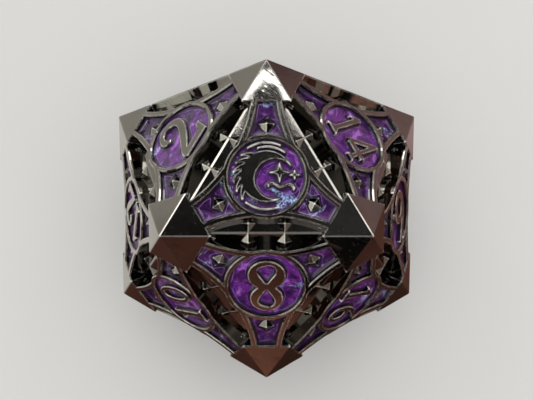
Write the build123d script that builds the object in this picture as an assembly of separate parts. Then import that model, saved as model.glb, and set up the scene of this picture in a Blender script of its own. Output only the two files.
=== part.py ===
from build123d import *
import os
from math import atan2, cos, degrees, hypot, radians, sin, sqrt

# A twenty-sided metal die, in millimetres. The origin is the centre of the die, +Z is the normal of
# the face that carries the highest value, and -Z is the normal of the face it rests on.

# ---- Driving dimensions ------------------------------------------------------------------------
ACROSS_FACES = 55.0  # between two opposite faces
PHI = (1 + sqrt(5)) / 2
EDGE = ACROSS_FACES * sqrt(3) / PHI**2  # length of one edge of the icosahedron
INRADIUS = ACROSS_FACES / 2  # centre of the die to the centre of a face
CIRCUMRADIUS = EDGE * sqrt(PHI * sqrt(5)) / 2  # centre of the die to a vertex
FACE_REACH = EDGE / sqrt(3)  # centre of a face to its vertices
FACE_APOTHEM = FACE_REACH / 2  # centre of a face to its sides
SHARP_EDGE = 0.14  # width of the worn flat along the outer edges, on each face
RIM = 0.20  # chamfer round every recess

# ---- One face: facets, rails and ring (flush with the face plane) --------------------------------
CAP_LINE = 0.368 * EDGE  # face centre to the straight end of a corner facet
RING_IN = 0.183 * EDGE
RING_OUT = 0.208 * EDGE
RAIL_CENTRE = 0.930 * EDGE  # face centre to the centre of a rail's arcs, across the side
RAIL_OUTER = 0.735 * EDGE  # arc radius on the channel side of a rail
RAIL_WIDTH = 0.031 * EDGE

# ---- Recesses ------------------------------------------------------------------------------------
CHANNEL_DEPTH = 0.071 * EDGE  # edge channels, below the face plane
CREST_DROP = 0.08  # how much of the crest of a channel is worn flat
MEDALLION_FLOOR = 1.7  # metal floor under the round enamel
MEDALLION_LEVEL = 0.90  # surface of the round enamel
POCKET_FLOOR = 2.4
POCKET_LEVEL = 1.25
LIFT = 0.25  # how far cutting shapes stand above the face plane

# ---- Pyramids ------------------------------------------------------------------------------------
STUD_OFFSET = 0.087 * EDGE  # edge midpoint to a stud, along the edge
STUD_LENGTH = 0.075 * EDGE
STUD_WIDTH = 0.070 * EDGE
STUD_HEIGHT = 0.021 * EDGE
GEM_START = RING_OUT + 0.003 * EDGE
GEM_LENGTH = 0.085 * EDGE
GEM_WIDTH = 0.080 * EDGE
GEM_TIP_DEPTH = 0.45  # gem tip below the face plane
SINK = 0.5  # how far pyramids reach into the metal under them

# ---- Numerals ------------------------------------------------------------------------------------
SINGLE_HEIGHT = 0.295 * EDGE
DOUBLE_HEIGHT = 0.235 * EDGE
DOUBLE_WIDTH_RATIO = 0.80
DOUBLE_OFFSET = 0.071 * EDGE  # centre of each digit of a two-digit number
NUMERAL_RIM = 0.12

# ---- Emblem of the highest face --------------------------------------------------------------------
MOON_RADIUS = 0.126 * EDGE
MOON_BITE = 0.097 * EDGE
MOON_SHIFT = 0.043 * EDGE
MOON_TURN = -18.0
STAR = (0.062 * EDGE, 0.018 * EDGE, 0.050 * EDGE, 0.016 * EDGE)  # x, y, reach and waist
SMALL_STAR = (0.133 * EDGE, 0.006 * EDGE, 0.025 * EDGE, 0.010 * EDGE)
FLAME_COUNT = 6
FLAME_FIRST = 122.0  # bearing of the root of the first flame, in degrees
FLAME_SPACING = 17.0
FLAME_ROOT = (0.116 * EDGE, 0.032 * EDGE)  # distance from the centre, and width
FLAME_BELLY = (0.140 * EDGE, 0.020 * EDGE)
FLAME_TIP = (0.160 * EDGE, 0.009 * EDGE)
FLAME_CURL = 9.0  # degrees that a flame leans over by, from root to belly and from belly to tip
WISP_WIDTH = 0.013 * EDGE
WISP_END_WIDTH = 0.7 * WISP_WIDTH
WISPS = (  # radius, and the bearings of both ends in degrees
    (0.144 * EDGE, 52, 108),
    (0.164 * EDGE, 66, 124),
    (0.160 * EDGE, 232, 292),
)
WAVE_WIDTH = 0.014 * EDGE
WAVE_TURNS = (  # crests and troughs of the wave, in edge lengths
    (0.006, -0.047),
    (0.034, -0.037),
    (0.064, -0.052),
    (0.096, -0.042),
    (0.132, -0.064),
)


# ---- The icosahedron and its numbering -------------------------------------------------------------
def ring_of_vertices(radius, height, first_angle):
    """Three vertices a third of a turn apart round the Z axis."""
    angles = [radians(first_angle + 120 * k) for k in range(3)]
    return [Vector(radius * cos(a), radius * sin(a), height) for a in angles]


def icosahedron_vertices():
    """The twelve vertices by letter; a capital letter is opposite its small letter."""
    belt_radius = EDGE * PHI / sqrt(3)
    belt_height = sqrt(CIRCUMRADIUS**2 - belt_radius**2)
    top = ring_of_vertices(FACE_REACH, INRADIUS, 90)
    belt = ring_of_vertices(belt_radius, belt_height, 270)
    points = dict(zip("ABCDEF", top + belt))
    points.update({name.lower(): -point for name, point in points.items()})
    return points


VERTICES = icosahedron_vertices()

# The ten highest values, each by its three corners. The first corner is the one the numeral's top
# points to. A is at the back, B at the front left and C at the front right of the top face; D, E
# and F are the belt vertices beyond its front, right and left sides.
UPPER_FACES = {
    20: "ABC",
    2: "FAB",
    14: "EAC",
    8: "DBC",
    18: "dAF",
    4: "dAE",
    12: "eBF",
    10: "eBD",
    6: "fCE",
    16: "fCD",
}


def numbered_faces():
    """All twenty faces: opposite faces add up to 21 and have opposite corners."""
    faces = dict(UPPER_FACES)
    for value, corners in UPPER_FACES.items():
        faces[21 - value] = corners.swapcase()
    return dict(sorted(faces.items()))


def face_frame(corners):
    """Plane on a face: origin at its centre, Y towards its first corner, Z outwards."""
    first, second, third = (VERTICES[name] for name in corners)
    centre = (first + second + third) / 3
    up = first - centre
    outward = centre.normalized()
    return Plane(origin=centre, x_dir=up.cross(outward), z_dir=outward)


def corner_frames(corners):
    """The face's frame, turned so that each corner in turn is at the top."""
    turns = (corners, corners[1:] + corners[0], corners[2] + corners[:2])
    return [face_frame(turn) for turn in turns]


def channel_frames():
    """One face frame per edge of the die, with that edge on its -Y side."""
    frames = {}
    for corners in numbered_faces().values():
        for turn in (corners, corners[1:] + corners[0], corners[2] + corners[:2]):
            frames[frozenset(turn[1:])] = face_frame(turn)
    return list(frames.values())


# ---- Outlines on a face ----------------------------------------------------------------------------
def region(points):
    """Face with straight sides; the points run counter-clockwise."""
    return Face(Wire.make_polygon([Vector(*point) for point in points]))


def disc(radius, x=0.0, y=0.0):
    return Pos(x, y, 0) * Face(Wire.make_circle(radius))


def pocket_outline(growth=0.0):
    """Corner pocket at the top of a face: between ring, two rails and the corner facet."""
    top = CAP_LINE + growth
    upper_part = [(-FACE_APOTHEM, 0), (FACE_APOTHEM, 0), (FACE_APOTHEM, top), (-FACE_APOTHEM, top)]
    rail_radius = RAIL_OUTER + RAIL_WIDTH - growth
    rail_x = RAIL_CENTRE * cos(radians(30))
    rail_y = RAIL_CENTRE * sin(radians(30))
    outline = region(upper_part) - disc(RING_OUT - growth)
    outline = outline - disc(rail_radius, rail_x, rail_y) - disc(rail_radius, -rail_x, rail_y)
    return max(outline.faces(), key=lambda face: face.center().Y)


def channel_outline(growth=0.0):
    """Half of an edge channel, on the -Y side of a face, run out past the edge."""
    beyond = FACE_APOTHEM + LIFT
    reach = CAP_LINE + growth

    def facet_end(y):
        """Where the straight end of the corner facet crosses height y."""
        return (reach + y * sin(radians(30))) / cos(radians(30))

    high = -RING_IN
    corners = [
        (-facet_end(-beyond), -beyond),
        (facet_end(-beyond), -beyond),
        (facet_end(high), high),
        (-facet_end(high), high),
    ]
    bowed = region(corners) & disc(RAIL_OUTER + growth, 0, -RAIL_CENTRE)
    return (bowed - disc(RING_OUT - growth)).face()


def flared_recess(outline, depth):
    """Recess with straight walls and a chamfered rim, cut down from the face plane."""
    walls = extrude(Pos(0, 0, -depth) * outline(), depth)
    throat = Pos(0, 0, -RIM) * outline()
    mouth = Pos(0, 0, LIFT) * outline(RIM + LIFT)
    return walls + loft([throat, mouth], ruled=True)


# ---- Pyramids --------------------------------------------------------------------------------------
def kite(start, length, width):
    """Kite along +Y with its sharp corner at start, as four corners."""
    widest = start + 0.62 * length
    return [(0, start), (width / 2, widest), (0, start + length), (-width / 2, widest)]


def kite_pyramid(start, length, width, base_height, height):
    """Four-sided pyramid on a kite base; it also reaches SINK below its base."""
    tip = Vector(0, start + 0.60 * length, base_height + height)
    base = [Vector(x, y, base_height) for x, y in kite(start, length, width)]
    spread = (height + SINK) / height
    return ConvexPolyhedron([tip] + [tip + (corner - tip) * spread for corner in base])


def crest_offset():
    """How far the crest line of a channel lies inside the side of the face."""
    return CHANNEL_DEPTH * FACE_APOTHEM / INRADIUS


def stud_pair():
    """Two studs on the channel floor, each with one corner on the crest line."""
    start = -FACE_APOTHEM + crest_offset()
    stud = kite_pyramid(start, STUD_LENGTH, STUD_WIDTH, -CHANNEL_DEPTH, STUD_HEIGHT)
    return [Pos(x, 0, 0) * stud for x in (-STUD_OFFSET, STUD_OFFSET)]


def pocket_gem():
    """Pyramid that rises out of the pocket enamel, on a straight-sided foot."""
    base = Vector(0, 0, -POCKET_LEVEL)
    outline = [base + Vector(x, y) for x, y in kite(GEM_START, GEM_LENGTH, GEM_WIDTH)]
    tip = Vector(0, GEM_START + 0.60 * GEM_LENGTH, -GEM_TIP_DEPTH)
    foot = [corner - Vector(0, 0, POCKET_FLOOR + SINK - POCKET_LEVEL) for corner in outline]
    return ConvexPolyhedron([tip] + outline + foot)


# ---- Numerals: every digit is one unit tall and centred on the origin -----------------------------
def stroke(*knots):
    """Pen stroke through (x, y, width) knots, with cut ends."""
    left = []
    right = []
    for index, (x, y, width) in enumerate(knots):
        before = knots[max(index - 1, 0)]
        after = knots[min(index + 1, len(knots) - 1)]
        along_x = after[0] - before[0]
        along_y = after[1] - before[1]
        scale = width / 2 / hypot(along_x, along_y)
        left.append(Vector(x - along_y * scale, y + along_x * scale))
        right.append(Vector(x + along_y * scale, y - along_x * scale))
    left.reverse()
    far_end = Edge.make_line(right[-1], left[0])
    near_end = Edge.make_line(left[-1], right[0])
    return Face(Wire([Edge.make_spline(right), far_end, Edge.make_spline(left), near_end]))


def oval(x_radius, y_radius, y=0.0):
    return Pos(0, y, 0) * Face(Wire.make_ellipse(x_radius, y_radius))


def drop(half_width, base_y, tip_y):
    """Drop-shaped counter, round at base_y and narrow at tip_y."""
    height = tip_y - base_y
    bulge_y = base_y + 0.36 * height
    neck_y = base_y + 0.76 * height
    neck = 0.45 * half_width
    right = [(0, base_y), (half_width, bulge_y), (neck, neck_y)]
    left = [(0, tip_y), (-neck, neck_y), (-half_width, bulge_y)]
    curve = Edge.make_spline([Vector(*point) for point in right + left], periodic=True)
    return Face(Wire([curve]))


def digit_zero():
    return oval(0.31, 0.50) - oval(0.165, 0.37)


def digit_one():
    foot = [(-0.24, -0.50), (0.21, -0.50), (0.09, -0.35)]
    flag = [(0.09, 0.50), (-0.02, 0.50), (-0.22, 0.27), (-0.08, 0.29)]
    return region(foot + flag + [(-0.08, -0.37)])


def digit_two():
    bow = stroke(
        (-0.13, 0.14, 0.06),
        (-0.22, 0.25, 0.13),
        (-0.14, 0.40, 0.11),
        (0.04, 0.44, 0.11),
        (0.22, 0.28, 0.16),
        (0.12, 0.02, 0.17),
        (-0.10, -0.22, 0.15),
        (-0.27, -0.42, 0.13),
    )
    foot = region(
        [(-0.34, -0.42), (-0.28, -0.50), (0.30, -0.50), (0.36, -0.22), (0.25, -0.25), (0.20, -0.36)]
        + [(-0.22, -0.36)]
    )
    return bow + foot


def digit_three():
    upper = stroke(
        (-0.27, 0.30, 0.05),
        (-0.16, 0.41, 0.13),
        (0.03, 0.44, 0.11),
        (0.18, 0.27, 0.15),
        (0.07, 0.09, 0.10),
        (-0.09, 0.05, 0.08),
    )
    lower = stroke(
        (0.02, 0.075, 0.03),
        (0.14, 0.01, 0.11),
        (0.22, -0.20, 0.17),
        (0.03, -0.43, 0.12),
        (-0.18, -0.40, 0.14),
        (-0.30, -0.26, 0.05),
    )
    return upper + lower


def digit_four():
    stem_and_bar = [(-0.02, -0.50), (0.28, -0.50), (0.20, -0.40), (0.20, -0.25), (0.32, -0.25)]
    bar_and_top = [(0.36, -0.12), (0.20, -0.12), (0.20, 0.50), (0.10, 0.50), (-0.36, -0.12)]
    inner_corners = [(-0.30, -0.25), (0.06, -0.25), (0.06, -0.40)]
    counter = region([(-0.17, -0.12), (0.06, -0.12), (0.06, 0.21)])
    return region(stem_and_bar + bar_and_top + inner_corners) - counter


def digit_five():
    flag = region([(-0.25, 0.03), (-0.15, 0.06), (-0.09, 0.36), (0.20, 0.36), (0.26, 0.50), (-0.19, 0.50)])
    bowl = stroke(
        (-0.19, 0.085, 0.03),
        (-0.02, 0.12, 0.12),
        (0.17, 0.02, 0.14),
        (0.19, -0.24, 0.17),
        (0.01, -0.43, 0.12),
        (-0.18, -0.40, 0.14),
        (-0.29, -0.27, 0.05),
    )
    return flag + bowl


def digit_six():
    counter = oval(0.145, 0.185, -0.19)
    bowl = oval(0.29, 0.31, -0.19) - counter
    sweep = stroke(
        (-0.215, -0.20, 0.14),
        (-0.19, 0.07, 0.16),
        (-0.04, 0.31, 0.14),
        (0.20, 0.47, 0.05),
    )
    return bowl + (sweep - counter)


def digit_seven():
    bar = region([(-0.33, 0.26), (-0.24, 0.24), (-0.16, 0.36), (0.31, 0.38), (0.33, 0.50), (-0.30, 0.50)])
    leg = stroke((0.27, 0.44, 0.14), (0.08, 0.12, 0.13), (-0.02, -0.18, 0.15), (-0.04, -0.50, 0.19))
    return bar + leg


def digit_eight():
    """Two rings that lap over each other at the waist."""
    upper = oval(0.275, 0.255, 0.245) - drop(0.130, 0.405, 0.075)
    lower = oval(0.310, 0.285, -0.215) - drop(0.150, -0.400, -0.055)
    return upper.faces() + lower.faces()


def digit_nine():
    return Rot(0, 0, 180) * digit_six()


DIGITS = {
    "0": digit_zero,
    "1": digit_one,
    "2": digit_two,
    "3": digit_three,
    "4": digit_four,
    "5": digit_five,
    "6": digit_six,
    "7": digit_seven,
    "8": digit_eight,
    "9": digit_nine,
}


def digit_outline(digit, height, width, x, y=0.0):
    """One digit stretched to its height and width ratio, and moved to its place."""
    stretch = Matrix([[height * width, 0, 0, x], [0, height, 0, y], [0, 0, 1, 0], [0, 0, 0, 1]])
    return [face.transform_geometry(stretch) for face in DIGITS[digit]().faces()]


def numeral_outline(value):
    """Outlines of the numeral; 6 and 9 carry a dot, so that they can be told apart."""
    digits = str(value)
    if len(digits) == 2:
        places = zip(digits, (-DOUBLE_OFFSET, DOUBLE_OFFSET))
        outlines = [digit_outline(d, DOUBLE_HEIGHT, DOUBLE_WIDTH_RATIO, x) for d, x in places]
        return outlines[0] + outlines[1]
    outlines = digit_outline(digits, SINGLE_HEIGHT, 1.0, 0.0)
    if digits in "69":
        outlines.append(disc(0.016 * EDGE, 0.118 * EDGE, -0.085 * EDGE))
    return outlines


# ---- Emblem ----------------------------------------------------------------------------------------
def crescent():
    turn = Rot(0, 0, MOON_TURN)
    moon = disc(MOON_RADIUS) - disc(MOON_BITE, MOON_SHIFT)
    return turn * moon


def sparkle(x, y, reach, waist):
    """Star with four slim points."""
    points = []
    for step in range(8):
        radius = reach if step % 2 == 0 else waist
        angle = radians(90 + 45 * step)
        points.append((x + radius * cos(angle), y + radius * sin(angle)))
    return region(points)


def curl(*knots):
    """Stroke round the centre of the ring, through (radius, bearing, width) knots."""
    return stroke(*[(r * cos(radians(turn)), r * sin(radians(turn)), width) for r, turn, width in knots])


def flame(bearing):
    """Curved flame that rises from the back of the crescent."""
    root, root_width = FLAME_ROOT
    belly, belly_width = FLAME_BELLY
    tip, tip_width = FLAME_TIP
    return curl(
        (root, bearing, root_width),
        (belly, bearing + FLAME_CURL, belly_width),
        (tip, bearing + 2 * FLAME_CURL, tip_width),
    )


def wisp(radius, start, end):
    """Thin arc beside the ring, slimmer at its ends."""
    middle = (start + end) / 2
    widths = {start: WISP_END_WIDTH, middle: WISP_WIDTH, end: WISP_END_WIDTH}
    return curl(*[(radius, bearing, width) for bearing, width in widths.items()])


def wave():
    """Wavy line across the mouth of the crescent."""
    return stroke(*[(x * EDGE, y * EDGE, WAVE_WIDTH) for x, y in WAVE_TURNS])


def emblem_outline():
    flames = [flame(FLAME_FIRST + k * FLAME_SPACING) for k in range(FLAME_COUNT)]
    wisps = [wisp(*arc) for arc in WISPS]
    return [*crescent().faces(), *flames, *wisps, wave(), sparkle(*STAR), sparkle(*SMALL_STAR)]


# ---- Solids of one face ----------------------------------------------------------------------------
def medallion_outline(value):
    if value == 20:
        return emblem_outline()
    return numeral_outline(value)


def column(outline):
    """Straight column through the whole depth of a recess and a little beyond."""
    return extrude(Pos(0, 0, -MEDALLION_FLOOR - SINK) * outline, MEDALLION_FLOOR + SINK)


def island(outline):
    """Raised figure whose flush top is chamfered; it runs on upwards to clear the recess."""
    post = column(outline)
    crowned = chamfer(post.faces().sort_by(Axis.Z)[-1].edges(), NUMERAL_RIM)
    return crowned + extrude(crowned.faces().sort_by(Axis.Z)[-1], 2 * LIFT)


def medallion_recess(outlines):
    """Round recess inside the ring, less the raised figure that stands in it."""
    recess = flared_recess(lambda growth=0.0: disc(RING_IN + growth), MEDALLION_FLOOR)
    return recess.cut(*[island(outline) for outline in outlines])


def medallion_enamel(outlines):
    """Enamel poured round the raised figure, inside the ring."""
    depth = MEDALLION_FLOOR - MEDALLION_LEVEL
    puddle = extrude(Pos(0, 0, -MEDALLION_FLOOR) * disc(RING_IN), depth)
    return puddle.cut(*[column(outline) for outline in outlines])


def corner_enamel():
    """Enamel poured into one corner pocket, round its gem."""
    puddle = extrude(Pos(0, 0, -POCKET_FLOOR) * pocket_outline(), POCKET_FLOOR - POCKET_LEVEL)
    return puddle - pocket_gem()


def over_crest():
    """Block that stands on the flat of a channel's crest, square to the plane between both faces."""
    tilt = degrees(atan2(FACE_APOTHEM, INRADIUS))
    crest_y = -FACE_APOTHEM + crest_offset()
    crest = Pos(0, crest_y, -CHANNEL_DEPTH) * Rot(tilt, 0, 0) * Pos(0, 0, -CREST_DROP)
    return crest * Box(EDGE, 4 * SINK, 4 * SINK, align=(Align.CENTER, Align.CENTER, Align.MIN))


def edge_channel():
    """Channel over one edge of the die, with its two floors, worn crest and four studs."""
    bisector = Plane(origin=(0, -FACE_APOTHEM, 0), x_dir=(1, 0, 0), z_dir=(0, INRADIUS, FACE_APOTHEM))
    half = flared_recess(channel_outline, CHANNEL_DEPTH)
    deeper = flared_recess(channel_outline, CHANNEL_DEPTH + SINK) & over_crest()
    studs = stud_pair()
    studs += [stud.mirror(bisector) for stud in studs]
    return (half + half.mirror(bisector) + deeper + deeper.mirror(bisector)).cut(*studs)


# ---- The die ---------------------------------------------------------------------------------------
def blank():
    """Solid icosahedron whose edges are eased by narrow flats."""
    shrink = 1 - SHARP_EDGE / FACE_APOTHEM
    edge_radius = hypot(INRADIUS, FACE_APOTHEM)
    eased_radius = edge_radius - SHARP_EDGE * FACE_APOTHEM / edge_radius
    tips = {name: vertex * (eased_radius / edge_radius) for name, vertex in VERTICES.items()}
    polygons = []
    edge_flats = {}
    for corners in numbered_faces().values():
        centre = face_frame(corners).origin
        facet = {name: centre + (VERTICES[name] - centre) * shrink for name in corners}
        polygons.append(list(facet.values()))
        for ends in zip(corners, corners[1:] + corners[0]):
            edge_flats.setdefault(frozenset(ends), []).append([facet[name] for name in sorted(ends)])
    for ends, (near, far) in edge_flats.items():
        first, second = sorted(ends)
        polygons.append([tips[first], near[0], near[1], tips[second], far[1], far[0]])
    return Solid(Shell([Face(Wire.make_polygon(polygon)) for polygon in polygons]))


def cast_body(figures):
    """The casting: the blank with every channel, medallion and pocket cut into it."""
    channel = edge_channel()
    pocket = flared_recess(pocket_outline, POCKET_FLOOR) - pocket_gem()
    recesses = [frame.location * channel for frame in channel_frames()]
    for value, corners in numbered_faces().items():
        recesses.append(face_frame(corners).location * medallion_recess(figures[value]))
        recesses += [frame.location * pocket for frame in corner_frames(corners)]
    return blank().cut(*recesses)


def write_node(name, solids):
    export_step(Compound(children=solids), f"parts/{name}.step")


def main():
    os.makedirs("parts", exist_ok=True)
    faces = numbered_faces()
    figures = {value: medallion_outline(value) for value in faces}
    write_node("cast_body", list(cast_body(figures).solids()))
    fill = corner_enamel()
    for value, corners in faces.items():
        place = face_frame(corners).location
        round_fill = medallion_enamel(figures[value])
        write_node(f"medallion_enamel_{value:02d}", [place * solid for solid in round_fill.solids()])
        corner_fills = [frame.location * fill.solid() for frame in corner_frames(corners)]
        write_node(f"corner_enamel_{value:02d}", corner_fills)


main()
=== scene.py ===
from math import cos, radians, sin

import bpy
import numpy as np
from mathutils import Matrix, Vector, noise
from mathutils.geometry import delaunay_2d_cdt


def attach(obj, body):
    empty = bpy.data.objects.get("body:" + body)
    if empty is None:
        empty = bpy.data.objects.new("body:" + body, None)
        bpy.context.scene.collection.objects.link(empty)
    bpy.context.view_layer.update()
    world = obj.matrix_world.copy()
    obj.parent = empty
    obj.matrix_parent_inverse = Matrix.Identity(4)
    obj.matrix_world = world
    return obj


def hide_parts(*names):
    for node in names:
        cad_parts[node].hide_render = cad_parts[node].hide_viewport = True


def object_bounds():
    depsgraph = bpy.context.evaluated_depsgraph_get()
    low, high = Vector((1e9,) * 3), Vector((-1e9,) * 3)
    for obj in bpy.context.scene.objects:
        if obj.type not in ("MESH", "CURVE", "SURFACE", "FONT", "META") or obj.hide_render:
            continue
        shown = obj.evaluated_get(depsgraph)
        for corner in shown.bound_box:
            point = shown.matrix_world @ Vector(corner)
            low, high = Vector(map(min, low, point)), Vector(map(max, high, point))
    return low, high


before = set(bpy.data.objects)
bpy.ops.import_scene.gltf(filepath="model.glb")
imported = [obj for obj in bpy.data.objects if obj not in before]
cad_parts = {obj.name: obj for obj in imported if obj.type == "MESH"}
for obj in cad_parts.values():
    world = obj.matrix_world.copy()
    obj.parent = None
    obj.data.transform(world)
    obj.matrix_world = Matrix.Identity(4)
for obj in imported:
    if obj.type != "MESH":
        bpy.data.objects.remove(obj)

# The looks of a black-nickel plated twenty-sided die with purple pearl enamel. Units are metres.

cad_low, cad_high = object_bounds()
MM = 0.001
DIE_HEIGHT = cad_high.z - cad_low.z  # between two opposite faces
FACE_COUNT = 20

# ---- Enamel surfaces -----------------------------------------------------------------------------
WELD = 1e-6  # points closer than this are one point
TUCK = 0.03 * MM  # how far enamel reaches under the metal walls
EDGE_STEP = 0.20 * MM  # spacing of points along an enamel outline
RING_DEPTHS = (0.06 * MM, 0.14 * MM, 0.25 * MM, 0.38 * MM)  # rows of points that follow the outline
RING_CLEARANCE = 0.93  # how much of its depth a row point must keep from every wall
GRID_STEP = 0.22 * MM
GRID_CLEARANCE = 0.6 * GRID_STEP  # between the innermost row and the grid
WALL_GAP = "wall_gap"  # attribute of enamel: millimetres to the nearest metal wall
ROUGHLY_OUTWARD = 0.9  # cosine between a triangle's normal and the way out of the die
FLAT_LIMIT = 0.99  # how well a triangle must face outwards to belong to the top
SHARPEST_CORNER = 0.2  # limits how far an outline corner is moved
NEARLY_LEVEL = 0.9  # cosine between a face's normal and the vertical
HELPER_SLANTING = (0.31, 0.17, 0.93)  # lays out the plane of a slanting face
HELPER_LEVEL = (0.93, 0.17, 0.31)
INSIDE_ONLY = 1  # output mode of the triangulation
SAME_POINT = 1e-6  # millimetres
SEED_STEP = Vector((1.0, 2.7, -1.3))  # shift of the noise from one seed to the next
SWIRL_SIZE = 2.6 * MM  # ripples of the cured surface
SWIRL_SHIFT = 2.2 * MM
FOLD_SIZE = 1.5 * MM
FOLD_SEED = 5
RIPPLE_MARGIN = 0.5 * MM  # ripples fade out towards the walls

# How far cured enamel climbs the walls, over what distance, and the height of its ripples
MEDALLION_RISE = 0.22 * MM
MEDALLION_REACH = 0.35 * MM
MEDALLION_RIPPLE = 0.050 * MM
POCKET_RISE = 0.50 * MM
POCKET_REACH = 0.50 * MM
POCKET_RIPPLE = 0.035 * MM


def smooth_noise(point, size, seed):
    """Gradient noise in about -1..1, with features of the given size."""
    return noise.noise(point / size + SEED_STEP * seed)


def top_outlines(node):
    """The node's enamel tops: local axes, closed outlines in 2-D, level and floor height."""
    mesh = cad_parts[node].data
    mesh.calc_loop_triangles()
    points = np.array([vertex.co for vertex in mesh.vertices])
    triangles = np.array([triangle.vertices for triangle in mesh.loop_triangles])
    a, b, c = (points[triangles[:, k]] for k in range(3))
    normals = np.cross(b - a, c - a)
    areas = np.linalg.norm(normals, axis=1)
    normals /= np.maximum(areas, WELD**2)[:, None]
    rough_out = points.mean(axis=0)
    rough_out /= np.linalg.norm(rough_out)
    facing = np.where(normals @ rough_out > ROUGHLY_OUTWARD, areas, 0)
    out = normals[np.argmax(facing)]
    helper = HELPER_SLANTING if abs(out[2]) < NEARLY_LEVEL else HELPER_LEVEL
    across = np.cross(out, helper)
    across /= np.linalg.norm(across)
    axes = np.array([across, np.cross(out, across), out])
    local = points @ axes.T
    level = local[:, 2].max()
    is_top = (normals @ out > FLAT_LIMIT) & (np.abs(local[triangles[:, 0], 2] - level) < 10 * WELD)
    keys = [tuple(key) for key in np.round(local[:, :2] / WELD).astype(int)]
    place = {}
    following = set()
    for triangle in triangles[is_top]:
        for k in range(3):
            start, end = triangle[k], triangle[(k + 1) % 3]
            place[keys[start]] = local[start, :2]
            following.add((keys[start], keys[end]))
    next_key = {start: end for start, end in following if (end, start) not in following}
    outlines = []
    while next_key:
        key = min(next_key)
        loop = []
        while key in next_key:
            loop.append(place[key])
            key = next_key.pop(key)
        outlines.append(np.array(loop))
    return axes, outlines, level, local[:, 2].min()


def outline_normals(loop):
    """Unit vectors that point out of the enamel, at the corners of an outline."""
    ahead = np.roll(loop, -1, axis=0) - loop
    ahead /= np.linalg.norm(ahead, axis=1)[:, None]
    behind = np.roll(ahead, 1, axis=0)
    tangent = ahead + behind
    tangent /= np.maximum(np.linalg.norm(tangent, axis=1), SHARPEST_CORNER)[:, None]
    return np.stack([tangent[:, 1], -tangent[:, 0]], axis=1)


def divided(loop):
    """The outline with extra points, so that no side is longer than EDGE_STEP."""
    points = []
    for start, end in zip(loop, np.roll(loop, -1, axis=0)):
        pieces = max(1, int(np.ceil(np.linalg.norm(end - start) / EDGE_STEP)))
        points += [start + (end - start) * k / pieces for k in range(pieces)]
    return np.array(points)


def outline_sides(loops):
    """Start and end points of all sides of the outlines."""
    starts = np.concatenate(loops)
    ends = np.concatenate([np.roll(loop, -1, axis=0) for loop in loops])
    return starts, ends


def distance_to_sides(points, sides):
    """Distance from each point to the nearest side."""
    starts, ends = sides
    along = ends - starts
    length2 = (along**2).sum(axis=1)
    best = np.full(len(points), np.inf)
    for start, way, square in zip(starts, along, length2):
        offset = points - start
        share = np.clip(offset @ way / square, 0, 1)
        best = np.minimum(best, ((offset - share[:, None] * way) ** 2).sum(axis=1))
    return np.sqrt(best)


def inside(points, sides):
    """Even-odd test, so that figures inside the outline are left out and their counters are in."""
    starts, ends = sides
    crossings = np.zeros(len(points), int)
    for (x0, y0), (x1, y1) in zip(starts, ends):
        spans = (y0 > points[:, 1]) != (y1 > points[:, 1])
        rise = y1 - y0 if y1 != y0 else WELD
        crossings += spans & (points[:, 0] < x0 + (points[:, 1] - y0) * (x1 - x0) / rise)
    return crossings % 2 == 1


def surface_points(loops, sides):
    """Points inside the outlines: rows along the walls, then an even hexagonal grid."""
    rows = []
    for depth in RING_DEPTHS:
        row = np.concatenate([loop - outline_normals(loop) * depth for loop in loops])
        keep = distance_to_sides(row, sides) > RING_CLEARANCE * depth
        rows.append(row[keep])
    low = np.min(sides[0], axis=0)
    high = np.max(sides[0], axis=0)
    row_height = GRID_STEP * sin(radians(60))
    grid = []
    for j in range(int((high[1] - low[1]) / row_height) + 1):
        shift = GRID_STEP / 2 * (j % 2)
        for i in range(int((high[0] - low[0]) / GRID_STEP) + 1):
            grid.append((low[0] + i * GRID_STEP + shift, low[1] + j * row_height))
    grid = np.array(grid)
    grid = grid[distance_to_sides(grid, sides) > RING_DEPTHS[-1] + GRID_CLEARANCE]
    points = np.concatenate(rows + [grid])
    return points[inside(points, sides)]


def triangulated(points, loops, sides):
    """Triangles over the enamel; the outline points come first in points."""
    edges = []
    first = 0
    for loop in loops:
        count = len(loop)
        edges += [(first + k, first + (k + 1) % count) for k in range(count)]
        first += count
    flat = [Vector(point) for point in points / MM]
    found = delaunay_2d_cdt(flat, edges, [], INSIDE_ONLY, SAME_POINT)
    vertices = np.array([tuple(vertex) for vertex in found[0]]) * MM
    triangles = np.array([face for face in found[2] if len(face) == 3])
    middles = vertices[triangles].mean(axis=1)
    order = [origin[0] if origin else -1 for origin in found[3]]
    if min(order) < 0 or len(vertices) != len(points):
        raise ValueError("an enamel outline crosses itself")
    back = np.array(order)
    return back[triangles[inside(middles, sides)]]


def turns_left(loop):
    """True for an outline that runs round the outside of the enamel, not round a figure in it."""
    after = np.roll(loop, -1, axis=0)
    return (loop[:, 0] * after[:, 1] - loop[:, 1] * after[:, 0]).sum() > 0


def enamel_relief(points, depths, climb, rise, reach, ripple, seed, axes, level):
    """Height of the cured surface over its level: it climbs the walls and is gently rippled."""
    heights = rise * np.exp(-climb / reach)
    for k, (point, depth) in enumerate(zip(points, depths)):
        place = Vector((*point, level)) @ Matrix(axes)
        swirl = smooth_noise(place, SWIRL_SIZE, seed)
        shifted = place + Vector((swirl, -swirl, swirl)) * SWIRL_SHIFT
        fold = smooth_noise(shifted, FOLD_SIZE, seed + FOLD_SEED)
        heights[k] += ripple * fold * (1 - np.exp(-depth / RIPPLE_MARGIN))
    return heights


def closing_walls(loops, offset):
    """Upright faces from the outlines down to the floor, whose points lie offset further on."""
    walls = []
    first = 0
    for loop in loops:
        count = len(loop)
        for k in range(count):
            here, there = first + k, first + (k + 1) % count
            walls.append((offset + here, offset + there, there, here))
        first += count
    return walls


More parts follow.
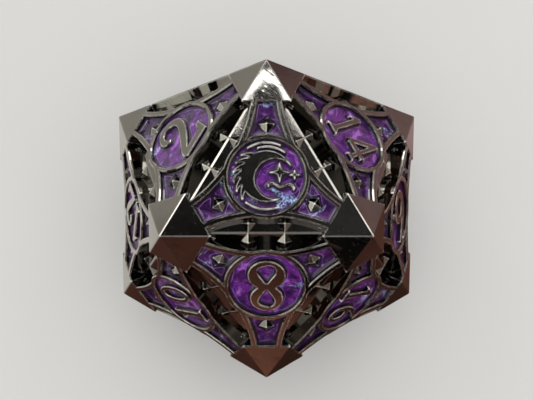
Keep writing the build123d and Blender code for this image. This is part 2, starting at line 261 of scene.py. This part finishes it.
def enamel_piece(name, node, seed, rise, reach, ripple, climbs_figures, material):
    """Closed solid of poured enamel with a concave, rippled top, in place of one CAD node."""
    axes, outlines, level, floor = top_outlines(node)
    loops = [divided(loop + outline_normals(loop) * TUCK) for loop in outlines]
    sides = outline_sides(loops)
    rim = np.concatenate(loops)
    flat = np.concatenate([rim, surface_points(loops, sides)])
    depths = distance_to_sides(flat, sides)
    top = triangulated(flat, loops, sides)
    bottom = triangulated(rim, loops, sides)
    upright = [loop for loop in loops if climbs_figures or turns_left(loop)]
    climb = distance_to_sides(flat, outline_sides(upright))
    heights = level + enamel_relief(flat, depths, climb, rise, reach, ripple, seed, axes, level)
    upper = np.column_stack([flat, heights])
    lower = np.column_stack([rim, np.full(len(rim), floor)])
    offset = len(upper)
    faces = [tuple(face) for face in top] + closing_walls(loops, offset)
    faces += [tuple(face[::-1] + offset) for face in bottom]
    points = np.concatenate([upper, lower]) @ axes
    mesh = bpy.data.meshes.new(name)
    mesh.from_pydata([tuple(point) for point in points], [], faces)
    wall_gap = mesh.attributes.new(WALL_GAP, "FLOAT", "POINT")
    wall_gap.data.foreach_set("value", np.concatenate([depths, np.zeros(len(rim))]) / MM)
    smooth = [k < len(top) for k in range(len(faces))]
    mesh.polygons.foreach_set("use_smooth", smooth)
    mesh.materials.append(material)
    mesh.update()
    piece = bpy.data.objects.new(name, mesh)
    bpy.context.scene.collection.objects.link(piece)
    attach(piece, "root")
    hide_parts(node)


# ---- Shader building -----------------------------------------------------------------------------
class Shader:
    """A node tree; each method adds one node and returns its output socket."""

    def __init__(self, owner):
        owner.use_nodes = True
        self.nodes = owner.node_tree.nodes
        self.links = owner.node_tree.links
        self.nodes.clear()

    def add(self, kind, **settings):
        node = self.nodes.new(kind)
        for name, value in settings.items():
            setattr(node, name, value)
        return node

    def feed(self, socket, value):
        """Links an output socket, or sets a plain value."""
        if isinstance(value, bpy.types.NodeSocket):
            self.links.new(value, socket)
        elif value is not None:
            socket.default_value = value

    def math(self, operation, first, second=None, third=None):
        node = self.add("ShaderNodeMath", operation=operation)
        for socket, value in zip(node.inputs, (first, second, third)):
            self.feed(socket, value)
        return node.outputs[0]

    def vector(self, operation, first, second=None):
        node = self.add("ShaderNodeVectorMath", operation=operation)
        self.feed(node.inputs[0], first)
        self.feed(node.inputs[1], second)
        return node.outputs["Value" if operation in ("DOT_PRODUCT", "LENGTH") else "Vector"]

    def scaled(self, vector, factor):
        node = self.add("ShaderNodeVectorMath", operation="SCALE")
        self.feed(node.inputs[0], vector)
        self.feed(node.inputs["Scale"], factor)
        return node.outputs["Vector"]

    def joined(self, x, y, z):
        node = self.add("ShaderNodeCombineXYZ")
        for socket, value in zip(node.inputs, (x, y, z)):
            self.feed(socket, value)
        return node.outputs[0]

    def noise(self, vector, scale, detail=2.0, roughness=0.5, distortion=0.0):
        node = self.add("ShaderNodeTexNoise")
        self.feed(node.inputs["Vector"], vector)
        for name, value in (("Scale", scale), ("Detail", detail), ("Roughness", roughness)):
            self.feed(node.inputs[name], value)
        self.feed(node.inputs["Distortion"], distortion)
        return node.outputs["Fac"]

    def cells(self, vector, scale):
        """Distance to the nearest of many scattered points."""
        node = self.add("ShaderNodeTexVoronoi")
        self.feed(node.inputs["Vector"], vector)
        self.feed(node.inputs["Scale"], scale)
        return node.outputs["Distance"]

    def span(self, value, low, high, to_low=0.0, to_high=1.0):
        """Smooth step of value from low..high to to_low..to_high."""
        node = self.add("ShaderNodeMapRange", interpolation_type="SMOOTHSTEP")
        for socket, number in zip(node.inputs, (value, low, high, to_low, to_high)):
            self.feed(socket, number)
        return node.outputs[0]

    def colours(self, value, *stops):
        """Colour ramp through (position, (r, g, b)) stops."""
        node = self.add("ShaderNodeValToRGB")
        ramp = node.color_ramp.elements
        while len(ramp) < len(stops):
            ramp.new(0.5)
        for element, (position, colour) in zip(ramp, stops):
            element.position = position
            element.color = (*colour, 1.0)
        self.feed(node.inputs[0], value)
        return node.outputs[0]

    def mix(self, share, first, second):
        """Blend of two colours."""
        node = self.add("ShaderNodeMix", data_type="RGBA")
        self.feed(node.inputs[0], share)
        for socket, value in zip((node.inputs[6], node.inputs[7]), (first, second)):
            self.feed(socket, (*value, 1.0) if isinstance(value, tuple) else value)
        return node.outputs[2]

    def blend(self, share, first, second):
        """Blend of two vectors."""
        node = self.add("ShaderNodeMix", data_type="VECTOR")
        self.feed(node.inputs[0], share)
        self.feed(node.inputs[4], first)
        self.feed(node.inputs[5], second)
        return self.vector("NORMALIZE", node.outputs[1])

    def bump(self, height, distance, normal=None):
        """Normal of a surface whose relief is distance deep."""
        node = self.add("ShaderNodeBump")
        self.feed(node.inputs["Strength"], 1.0)
        self.feed(node.inputs["Distance"], distance)
        self.feed(node.inputs["Height"], height)
        self.feed(node.inputs["Normal"], normal)
        return node.outputs[0]

    def surface(self, **values):
        """Principled surface joined to the output."""
        node = self.add("ShaderNodeBsdfPrincipled")
        for name, value in values.items():
            socket = node.inputs[name.replace("_", " ")]
            if isinstance(value, tuple):
                value = (*value, 1.0)
            self.feed(socket, value)
        output = self.add("ShaderNodeOutputMaterial")
        self.links.new(node.outputs[0], output.inputs[0])


def new_material(name):
    material = bpy.data.materials.new(name)
    return material, Shader(material)


# ---- Plated metal --------------------------------------------------------------------------------
PLATE_COLOUR = (0.155, 0.148, 0.137)
PLATE_SHADE = (0.125, 0.117, 0.108)
# Pale, half-matt colour of outward edges: real wear, and also a painted highlight along the edges
PLATE_WORN_GLINT = (0.640, 0.630, 0.600)
WORN_GLINT_METALLIC = 0.45
WORN_GLINT_ROUGHNESS = 0.25
EDGE_ROUNDING = 0.15 * MM
WEAR_GLINT_REACH = 0.34 * MM  # how far wear and the painted edge highlight spread from an edge
WEAR_GLINT_PATCHES = 700.0  # noise scales are per metre
GRAIN_HELPER = (0.42, 0.55, 0.72)  # gives every facet its own polishing direction
GRAIN_STRETCH = 0.05
HAIRLINE_PATCHES = 190.0
PLATE_CLOUDS = 160.0
HAZE_SPOTS = 3600.0

# Relief of the plating: noise scale and depth
PILLOW = (120.0, 0.030 * MM)
ORANGE_PEEL = (520.0, 0.004 * MM)
SCRATCHES = (9000.0, 0.0002 * MM)
HAIRLINES = (3800.0, 0.005 * MM)
SPECKLE = (5200.0, 0.0003 * MM)
PITS = (1300.0, -0.015 * MM)


def worn_glint_edges(s, place):
    """1 along outward edges, where the plating is polished thin and a pale highlight is painted,
    and 0 elsewhere.
    """
    thickness = s.add("ShaderNodeAmbientOcclusion", samples=6, inside=True, only_local=True)
    thickness.inputs["Distance"].default_value = WEAR_GLINT_REACH
    edge = s.span(thickness.outputs["AO"], 0.92, 0.60)
    patchy = s.span(s.noise(place, WEAR_GLINT_PATCHES, 2.0, 0.6), 0.25, 0.60, 0.35, 1.0)
    return s.math("MULTIPLY", edge, patchy)


def grain_place(s, place, flat_normal):
    """The place, squeezed along the polishing direction of its facet."""
    grain = s.vector("NORMALIZE", s.vector("CROSS_PRODUCT", flat_normal, GRAIN_HELPER))
    across_grain = s.vector("CROSS_PRODUCT", flat_normal, grain)
    u = s.vector("DOT_PRODUCT", place, grain)
    v = s.vector("DOT_PRODUCT", place, across_grain)
    w = s.vector("DOT_PRODUCT", place, flat_normal)
    return s.joined(s.math("MULTIPLY", u, GRAIN_STRETCH), v, w)


def plated_relief(s, place, geometry, worn_glint):
    """Normal of the plating: soft worn edges, then all of its relief from coarse to fine."""
    streaks = grain_place(s, place, geometry.outputs["True Normal"])
    patches = s.span(s.noise(place, HAIRLINE_PATCHES, 2.0, 0.6), 0.50, 0.62)
    hairlines = s.span(s.noise(streaks, HAIRLINES[0], 0.0), 0.60, 0.70)
    rounded = s.add("ShaderNodeBevel", samples=4)
    rounded.inputs["Radius"].default_value = EDGE_ROUNDING
    normal = s.blend(s.span(worn_glint, 0.05, 0.25), geometry.outputs["Normal"], rounded.outputs[0])
    normal = s.bump(s.noise(place, PILLOW[0], 0.0, 0.4), PILLOW[1], normal)
    normal = s.bump(s.noise(place, ORANGE_PEEL[0], 1.0, 0.4), ORANGE_PEEL[1], normal)
    normal = s.bump(s.noise(streaks, SCRATCHES[0], 2.0, 0.6), SCRATCHES[1], normal)
    normal = s.bump(s.math("MULTIPLY", hairlines, patches), HAIRLINES[1], normal)
    normal = s.bump(s.noise(place, SPECKLE[0], 2.0, 0.7), SPECKLE[1], normal)
    return s.bump(s.span(s.cells(place, PITS[0]), 0.15, 0.04), PITS[1], normal)


def plated_metal():
    """Black nickel: a dark mirror with worn edges painted pale as highlight lines, fine polishing
    scratches and small pits.
    """
    material, s = new_material("black_nickel")
    place = s.add("ShaderNodeTexCoord").outputs["Object"]
    geometry = s.add("ShaderNodeNewGeometry")
    worn_glint = worn_glint_edges(s, place)
    normal = plated_relief(s, place, geometry, worn_glint)
    clouds = s.noise(place, PLATE_CLOUDS, 3.0, 0.6)
    haze = s.span(s.noise(place, HAZE_SPOTS, 3.0, 0.7), 0.60, 0.74, 0.0, 0.12)
    roughness = s.math("ADD", s.span(clouds, 0.3, 0.7, 0.03, 0.06), haze)
    base = s.mix(s.span(clouds, 0.35, 0.75), PLATE_COLOUR, PLATE_SHADE)
    # Worn edges turn pale and half matt: real wear, and a painted highlight on every outward edge
    base = s.mix(worn_glint, base, PLATE_WORN_GLINT)
    metallic = s.span(worn_glint, 0.0, 1.0, 1.0, WORN_GLINT_METALLIC)
    roughness = s.math("MAXIMUM", roughness, s.math("MULTIPLY", worn_glint, WORN_GLINT_ROUGHNESS))
    s.surface(Base_Color=base, Metallic=metallic, Roughness=roughness, Normal=normal)
    return material


# ---- Enamel --------------------------------------------------------------------------------------
ENAMEL_WALL_SHADE = (0.007, 0.0005, 0.018)  # painted shade beside the metal walls
ENAMEL_PAINTED_GLINT = (0.34, 0.20, 0.52)  # painted highlight: fine pale lines along the walls, in place of glints on the curved clear skin
WALL_SHADE_REACH = 0.75  # millimetres from the walls over which the painted shade fades
LINE_GAPS = (0.35, 0.65)  # millimetres from the walls to a painted highlight line, least and most
LINE_WIDTH = 0.065
PEARL_SHEEN_BLUE = (0.36, 0.60, 0.86)
PEARL_SHEEN_PATCH = (2.9 * MM, -4.0 * MM, cad_high.z)  # middle of a patch of painted blue sheen on the highest face
PEARL_SHEEN_PATCH_REACH = 3.6 * MM
PEARL_SHEEN_PATCH_GAIN = 0.36
SHEEN_STRENGTH = 0.9
FLAKE_DARK = 0.75  # brightness between the flakes and on them, as shares of the richness
FLAKE_BRIGHT = 1.25
MEDALLION_RICHNESS = 0.60  # lightness of the enamel
POCKET_RICHNESS = 0.30
MICA_TONES = (  # from the bottom of a fold of mica to its top
    (0.30, (0.0220, 0.0016, 0.060)),
    (0.45, (0.0700, 0.0060, 0.150)),
    (0.52, (0.1700, 0.0220, 0.300)),
    (0.56, (0.0700, 0.0070, 0.160)),
    (0.66, (0.4200, 0.1400, 0.660)),
)
DRIFT_SCALE = 230.0
STRAND_SCALE = 420.0

# Relief of the mica and of the clear skin: noise scale and depth
FOLDS = (260.0, 0.10 * MM)
FLAKES = (3400.0, 0.012 * MM)
SKIN = (480.0, 0.035 * MM)


def painted_glint_line(s, place, gap, drift):
    """1 on the fine painted highlight line that follows the walls, where the enamel has a line at
    all.
    """
    strand = s.noise(place, STRAND_SCALE, 1.0, 0.5)
    line_gap = s.span(strand, 0.3, 0.7, *LINE_GAPS)
    off_line = s.math("ABSOLUTE", s.math("SUBTRACT", gap, line_gap))
    strength = s.span(drift, 0.44, 0.58, 0.05, 0.60)
    return s.math("MULTIPLY", s.span(off_line, LINE_WIDTH, 0.0), strength)


def pearl_sheen(s, place, drift, flakes):
    """Share of painted blue pearl sheen: scattered flakes, gathered in a patch on the highest face.
    """
    sheen_patch = s.vector("LENGTH", s.vector("SUBTRACT", place, PEARL_SHEEN_PATCH))
    drift = s.math("ADD", drift, s.span(sheen_patch, PEARL_SHEEN_PATCH_REACH, 0.0, 0.0, PEARL_SHEEN_PATCH_GAIN))
    sheen = s.math("MULTIPLY", s.span(drift, 0.62, 0.80), s.span(flakes, 0.35, 0.70))
    return s.math("MULTIPLY", sheen, SHEEN_STRENGTH)


def purple_enamel(name, richness):
    """Purple pearl enamel: mica swirls under a clear glossy skin, with painted shade by the walls,
    painted highlight lines and a painted blue sheen.
    """
    material, s = new_material(name)
    place = s.add("ShaderNodeTexCoord").outputs["Object"]
    gap = s.add("ShaderNodeAttribute", attribute_name=WALL_GAP).outputs["Fac"]
    drift = s.noise(place, DRIFT_SCALE, 2.0, 0.5, 1.0)
    folds = s.noise(place, FOLDS[0], 3.0, 0.55, 1.6)
    flakes = s.noise(place, FLAKES[0], 1.0, 0.5)
    body = s.colours(folds, *MICA_TONES)
    glitter = s.span(flakes, 0.3, 0.7, FLAKE_DARK * richness, FLAKE_BRIGHT * richness)
    body = s.scaled(body, glitter)
    # Painted shade: the enamel is darkened towards the metal walls
    body = s.mix(s.span(gap, 0.0, WALL_SHADE_REACH), ENAMEL_WALL_SHADE, body)
    # Painted highlight: fine pale lines along the walls
    body = s.mix(painted_glint_line(s, place, gap, drift), body, ENAMEL_PAINTED_GLINT)
    # Painted sheen: blue pearl shimmer laid into the colour
    colour = s.mix(pearl_sheen(s, place, drift, flakes), body, PEARL_SHEEN_BLUE)
    pearl_normal = s.bump(folds, FOLDS[1])
    pearl_normal = s.bump(flakes, FLAKES[1], pearl_normal)
    skin_normal = s.bump(s.noise(place, SKIN[0], 1.0, 0.4, 0.6), SKIN[1])
    s.surface(
        Base_Color=colour,
        Metallic=0.35,
        Roughness=0.36,
        Specular_IOR_Level=0.15,
        Normal=pearl_normal,
        Coat_Weight=0.75,
        Coat_Roughness=0.02,
        Coat_IOR=1.50,
        Coat_Normal=skin_normal,
    )
    return material


# ---- Floor and the cards on it -------------------------------------------------------------------
FLOOR_SIZE = 3.0
FLOOR_PALE = ((0.315, 0.313, 0.310), (0.295, 0.293, 0.290))
FLOOR_TONES = 9.0
FLOOR_FIBRES = (900.0, 0.02 * MM)

# Polished metal sees cards on the floor: a pale one at the back left, a rose one at the right, and
# warm brown ones all round the rest. Bearings are 0 towards +Y and positive towards +X.
CARD_BEARING = radians(-62)
CARD_HALF_WIDTH = radians(46)
CARD_SOFTNESS = radians(14)
CARD_PALE = (0.44, 0.425, 0.395)
CARD_ROSE_BEARING = radians(58)
CARD_ROSE_HALF_WIDTH = radians(8)
CARD_ROSE_SOFTNESS = radians(18)
CARD_ROSE = (0.270, 0.180, 0.180)
CARD_WARM = (0.125, 0.053, 0.038)
CARD_DARK = (0.042, 0.019, 0.014)
CARD_BLOTCHES = 22.0


def bearing_swing(s, x, y, bearing):
    """Angle between the direction (x, y) and a bearing, 0 to pi."""
    side = s.vector("DOT_PRODUCT", s.joined(x, y, 0.0), (cos(bearing), -sin(bearing), 0.0))
    ahead = s.vector("DOT_PRODUCT", s.joined(x, y, 0.0), (sin(bearing), cos(bearing), 0.0))
    return s.math("ABSOLUTE", s.math("ARCTAN2", side, ahead))


def card_tone(s, place):
    """What polished metal sees in the floor."""
    split = s.add("ShaderNodeSeparateXYZ")
    s.feed(split.inputs[0], place)
    x, y, _ = split.outputs
    pale = bearing_swing(s, x, y, CARD_BEARING)
    pale = s.span(pale, CARD_HALF_WIDTH + CARD_SOFTNESS, CARD_HALF_WIDTH)
    rose = bearing_swing(s, x, y, CARD_ROSE_BEARING)
    rose = s.span(rose, CARD_ROSE_HALF_WIDTH + CARD_ROSE_SOFTNESS, CARD_ROSE_HALF_WIDTH)
    blotches = s.span(s.noise(place, CARD_BLOTCHES, 2.0, 0.5), 0.35, 0.65)
    warm = s.mix(blotches, CARD_DARK, CARD_WARM)
    return s.mix(pale, s.mix(rose, warm, CARD_ROSE), CARD_PALE)


def build_floor():
    """A large sheet of pale matt paper under the die."""
    material, s = new_material("pale_floor")
    place = s.add("ShaderNodeTexCoord").outputs["Object"]
    pale = s.mix(s.noise(place, FLOOR_TONES, 3.0, 0.5), *FLOOR_PALE)
    mirrored = s.add("ShaderNodeLightPath").outputs["Is Glossy Ray"]
    base = s.mix(mirrored, pale, card_tone(s, place))
    normal = s.bump(s.noise(place, FLOOR_FIBRES[0], 2.0, 0.6), FLOOR_FIBRES[1])
    s.surface(Base_Color=base, Roughness=0.9, Specular_IOR_Level=0.0, Normal=normal)
    half = FLOOR_SIZE / 2
    mesh = bpy.data.meshes.new("floor")
    corners = [(-half, -half), (half, -half), (half, half), (-half, half)]
    mesh.from_pydata([(x, y, cad_low.z) for x, y in corners], [], [(0, 1, 2, 3)])
    mesh.materials.append(material)
    floor = bpy.data.objects.new("floor", mesh)
    bpy.context.scene.collection.objects.link(floor)


# ---- Light and camera ----------------------------------------------------------------------------
# Each softbox: bearing, elevation, half width, half height and softness of the border, all in
# degrees, then the curl of an arched strip, its brightness and its colour.
SOFTBOXES = (
    (-35, 37, 75, 23, 8, 0.0, 1.1, (1.0, 0.97, 0.90)),
    (78, 37, 24, 23, 8, 0.0, 0.50, (1.0, 0.88, 0.80)),
    (-128, 37, 26, 11, 4, 0.0, 1.6, (1.0, 1.0, 0.88)),
    (142, 42, 14, 7, 4, 0.0, 0.7, (1.0, 0.52, 0.40)),
    (0, 26, 20, 2.5, 1.5, 0.0, 9.0, (1.0, 0.99, 0.97)),
    (-46, 40, 10, 3.0, 2.0, 0.0, 7.0, (1.0, 0.99, 0.97)),
    (47, 40, 10, 3.0, 2.0, 0.0, 5.0, (1.0, 0.99, 0.97)),
    (0, 70.2, 7.5, 0.26, 0.12, 3.5, 19.0, (1.0, 1.0, 1.0)),
    (180, 57, 34, 4.0, 2.0, 0.0, 0.85, (1.0, 0.98, 0.95)),
    (180, 80, 26, 1.6, 1.2, 0.0, 0.8, (1.0, 0.99, 0.98)),
    (180, 26, 40, 6.0, 3.0, 0.0, 0.30, (1.0, 1.0, 0.98)),
    (-60, 6, 46, 10, 3, 0.0, 0.9, (1.0, 0.98, 0.92)),
    (-150, 3, 31, 13.0, 1.0, 0.0, 0.27, (1.0, 0.40, 0.26)),
    (150, 3, 31, 8.0, 1.0, 0.0, 0.36, (1.0, 0.41, 0.27)),
    (100, 10, 20, 12, 4, 0.0, 0.6, (1.0, 0.80, 0.66)),
)
AMBIENT = (1.0, 0.99, 0.97)
CLOUD_SCALE = 5.0
GRIT_SCALE = 330.0
GRIT_LOW = 0.25
GRIT_HIGH = 1.6
CEILING_DARK = 0.03
CEILING_LIGHT = 0.36
CEILING_EDGE = (radians(58), radians(68))  # elevations between which the ceiling begins
LOW_DARK = 0.15  # brightness below the ceiling, as a share of the ceiling's own
FILL_COLOUR = (1.0, 0.995, 0.985)  # soft light of the room, which only matt surfaces gather
FILL_LEVEL = 1.5  # at the horizon
FILL_OVERHEAD = 1.6  # what is added straight above
BACKDROP = (0.90, 0.90, 0.895)
CAMERA_ELEVATION = 78.5
CAMERA_DISTANCE = 3.197 * DIE_HEIGHT
CAMERA_AIM = Vector((0.0, 0.0238, 0.0049)) * DIE_HEIGHT
CAMERA_LENS = 58.6


def ceiling_light(s, direction, elevation):
    """Mottled dim ceiling that fades out towards the walls."""
    clouds = s.span(s.noise(direction, CLOUD_SCALE, 2.0, 0.5), 0.30, 0.75)
    grit = s.span(s.noise(direction, GRIT_SCALE, 3.0, 0.75), 0.40, 0.66, GRIT_LOW, GRIT_HIGH)
    mottle = s.math("MULTIPLY", clouds, grit)
    ceiling = s.span(mottle, 0.0, GRIT_HIGH, CEILING_DARK, CEILING_LIGHT)
    overhead = s.span(elevation, *CEILING_EDGE, LOW_DARK, 1.0)
    return s.scaled(AMBIENT, s.math("MULTIPLY", ceiling, overhead))


def softbox_light(s, x, y, elevation, box):
    """Glow of one softbox; an arched strip lies higher the further it is from its middle."""
    bearing, height, half_width, half_height, soft, curl, strength, colour = box
    swing = bearing_swing(s, x, y, radians(bearing))
    middle = s.math("MULTIPLY_ADD", s.math("MULTIPLY", swing, swing), curl, radians(height))
    lift = s.math("ABSOLUTE", s.math("SUBTRACT", elevation, middle))
    wide = s.span(swing, radians(half_width + soft), radians(half_width))
    high = s.span(lift, radians(half_height + soft), radians(half_height))
    glow = tuple(channel * strength for channel in colour)
    return s.scaled(glow, s.math("MULTIPLY", wide, high))


def build_world():
    """A dark studio with softboxes; the camera itself sees a plain pale backdrop."""
    world = bpy.data.worlds.new("studio")
    bpy.context.scene.world = world
    s = Shader(world)
    direction = s.add("ShaderNodeTexCoord").outputs["Generated"]
    split = s.add("ShaderNodeSeparateXYZ")
    s.feed(split.inputs[0], direction)
    x, y, z = split.outputs
    elevation = s.math("ARCSINE", z)
    light = ceiling_light(s, direction, elevation)
    for box in SOFTBOXES:
        light = s.vector("ADD", light, softbox_light(s, x, y, elevation, box))
    path = s.add("ShaderNodeLightPath")
    dome = s.scaled(FILL_COLOUR, s.math("MULTIPLY_ADD", z, FILL_OVERHEAD, FILL_LEVEL))
    light = s.mix(path.outputs["Is Diffuse Ray"], light, dome)
    seen = path.outputs["Is Camera Ray"]
    background = s.add("ShaderNodeBackground")
    s.feed(background.inputs["Color"], s.mix(seen, light, BACKDROP))
    output = s.add("ShaderNodeOutputWorld")
    s.links.new(background.outputs[0], output.inputs[0])


def build_camera():
    """Looks down on the highest face, a little from the front."""
    data = bpy.data.cameras.new("camera")
    data.lens = CAMERA_LENS
    data.clip_start = 0.01
    data.clip_end = 20.0
    camera = bpy.data.objects.new("camera", data)
    bpy.context.scene.collection.objects.link(camera)
    tilt = radians(CAMERA_ELEVATION)
    back = Vector((0.0, -cos(tilt), sin(tilt)))
    camera.location = CAMERA_AIM + back * CAMERA_DISTANCE
    camera.rotation_mode = "QUATERNION"
    camera.rotation_quaternion = (-back).to_track_quat("-Z", "Y")
    bpy.context.scene.camera = camera


# ---- The scene -----------------------------------------------------------------------------------
def main():
    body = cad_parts["cast_body"].data
    body.materials.clear()
    body.materials.append(plated_metal())
    medallion = dict(
        rise=MEDALLION_RISE,
        reach=MEDALLION_REACH,
        ripple=MEDALLION_RIPPLE,
        climbs_figures=True,
        material=purple_enamel("medallion_pearl_enamel", MEDALLION_RICHNESS),
    )
    pocket = dict(
        rise=POCKET_RISE,
        reach=POCKET_REACH,
        ripple=POCKET_RIPPLE,
        climbs_figures=False,
        material=purple_enamel("corner_pearl_enamel", POCKET_RICHNESS),
    )
    for value in range(1, FACE_COUNT + 1):
        face = f"{value:02d}"
        enamel_piece(f"medallion_pour_{face}", f"medallion_enamel_{face}", value, **medallion)
        enamel_piece(f"corner_pour_{face}", f"corner_enamel_{face}", value, **pocket)
    build_floor()
    build_world()
    build_camera()
    scene = bpy.context.scene
    scene.view_settings.view_transform = "Standard"


main()
